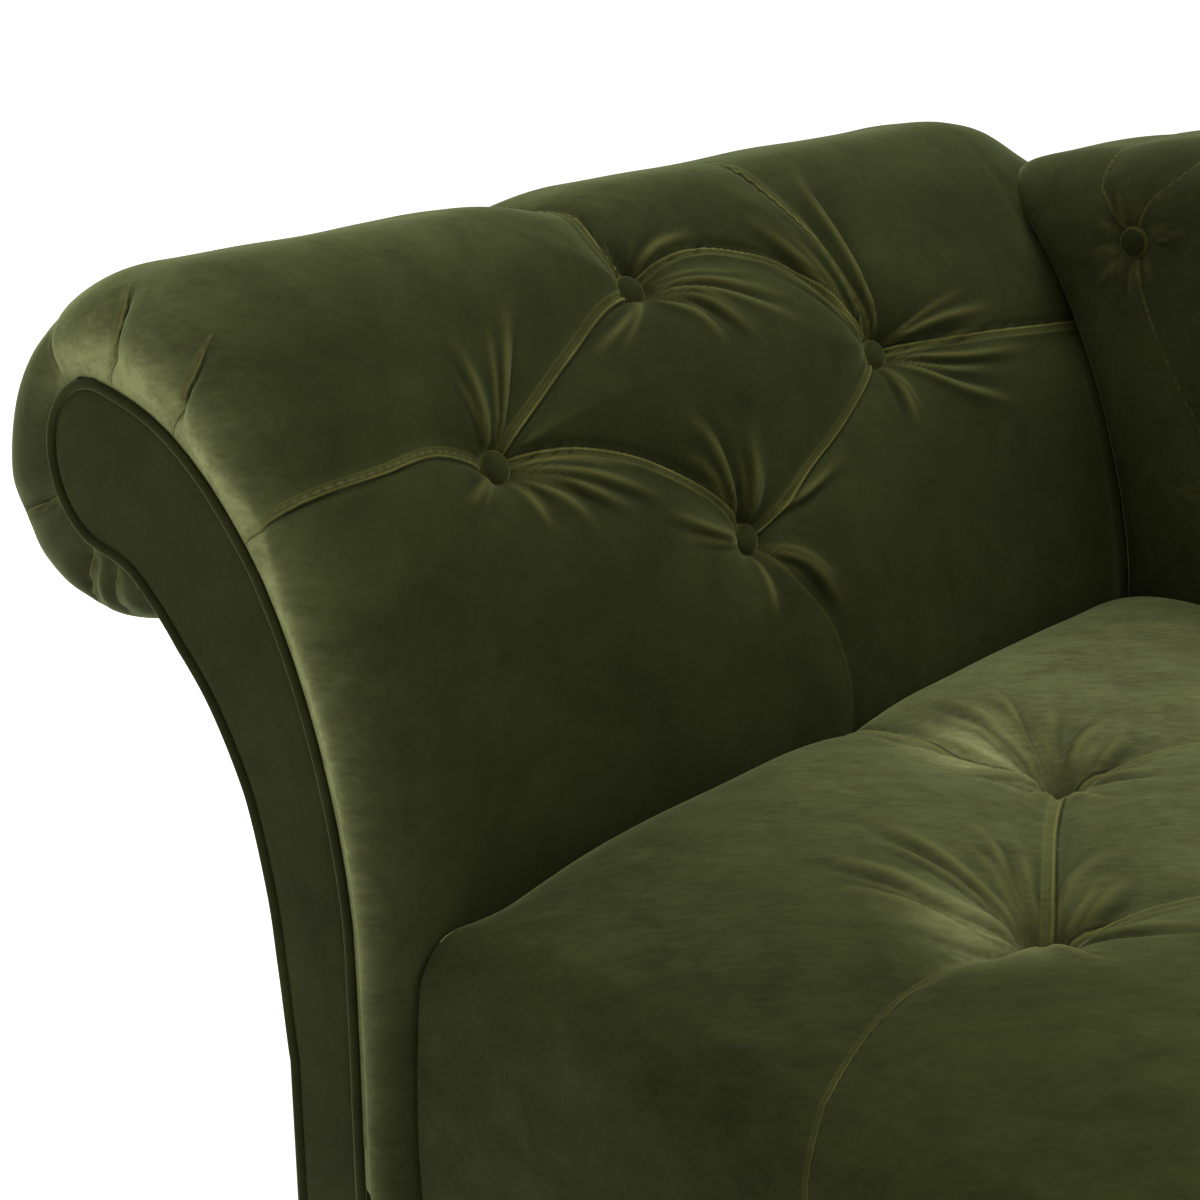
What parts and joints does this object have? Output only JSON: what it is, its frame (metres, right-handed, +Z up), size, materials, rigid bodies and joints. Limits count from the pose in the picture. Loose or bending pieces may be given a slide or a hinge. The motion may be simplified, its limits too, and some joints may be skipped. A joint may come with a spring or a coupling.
{
  "type": "fainting couch",
  "caption": "Velvet fainting couch: one tufted scroll arm, a buttoned back sweeping down to the foot, a diamond tufted seat on a timber frame with turned legs.",
  "frame": {"origin": "centre of the couch's footprint box, on the floor", "axes": "+X along the couch from the scroll arm at the head to the open foot, -Y out of the front of the seat, +Y towards the back, +Z up"},
  "size_m": [1.7232, 0.7514, 0.7775],
  "materials": {
    "velvet": "satin",
    "velvet_trim": "satin",
    "frame_timber": "matte",
    "polished_wood": "satin",
    "webbing": "matte",
    "lining_cloth": "matte",
    "fibreboard": "matte",
    "bolt_steel": "satin",
    "glide_plastic": "matte"
  },
  "bodies": {
    "root": {"arm_front_post": "frame_timber", "arm_rear_post": "frame_timber", "arm_tack_rail": "frame_timber", "arm_roll_rail": "frame_timber", "arm_bent_board": "fibreboard", "arm_outside_cover": "velvet", "arm_front_panel": "velvet", "arm_rear_panel": "velvet", "arm_front_welt": "velvet_trim", "arm_button_low": "velvet_trim", "arm_button_front": "velvet_trim", "arm_button_rear": "velvet_trim", "arm_button_high": "velvet_trim", "arm_pad": "velvet", "head_rail": "frame_timber", "front_rail": "frame_timber", "rear_rail": "frame_timber", "foot_rail": "frame_timber", "seat_stretcher_1": "frame_timber", "seat_stretcher_2": "frame_timber", "corner_block_front_head": "frame_timber", "corner_block_front_foot": "frame_timber", "corner_block_rear_head": "frame_timber", "corner_block_rear_foot": "frame_timber", "leg_front_head": "polished_wood", "leg_front_foot": "polished_wood", "leg_rear_head": "polished_wood", "leg_rear_foot": "polished_wood", "leg_bolt_front_head": "bolt_steel", "leg_bolt_front_foot": "bolt_steel", "leg_bolt_rear_head": "bolt_steel", "leg_bolt_rear_foot": "bolt_steel", "glide_front_head": "glide_plastic", "glide_front_foot": "glide_plastic", "glide_rear_head": "glide_plastic", "glide_rear_foot": "glide_plastic", "cross_strap_1": "webbing", "cross_strap_2": "webbing", "cross_strap_3": "webbing", "cross_strap_4": "webbing", "cross_strap_5": "webbing", "cross_strap_6": "webbing", "cross_strap_7": "webbing", "long_strap_1": "webbing", "long_strap_2": "webbing", "deck_cloth": "lining_cloth", "seat_pad": "velvet", "back_pad": "velvet", "back_top_rail": "frame_timber", "back_post_head": "frame_timber", "back_post_middle": "frame_timber", "back_post_foot": "frame_timber", "back_outside_cover": "velvet", "front_border": "velvet", "foot_border": "velvet", "back_foot_panel": "velvet", "dust_cover": "lining_cloth"}
  },
  "joints": []
}
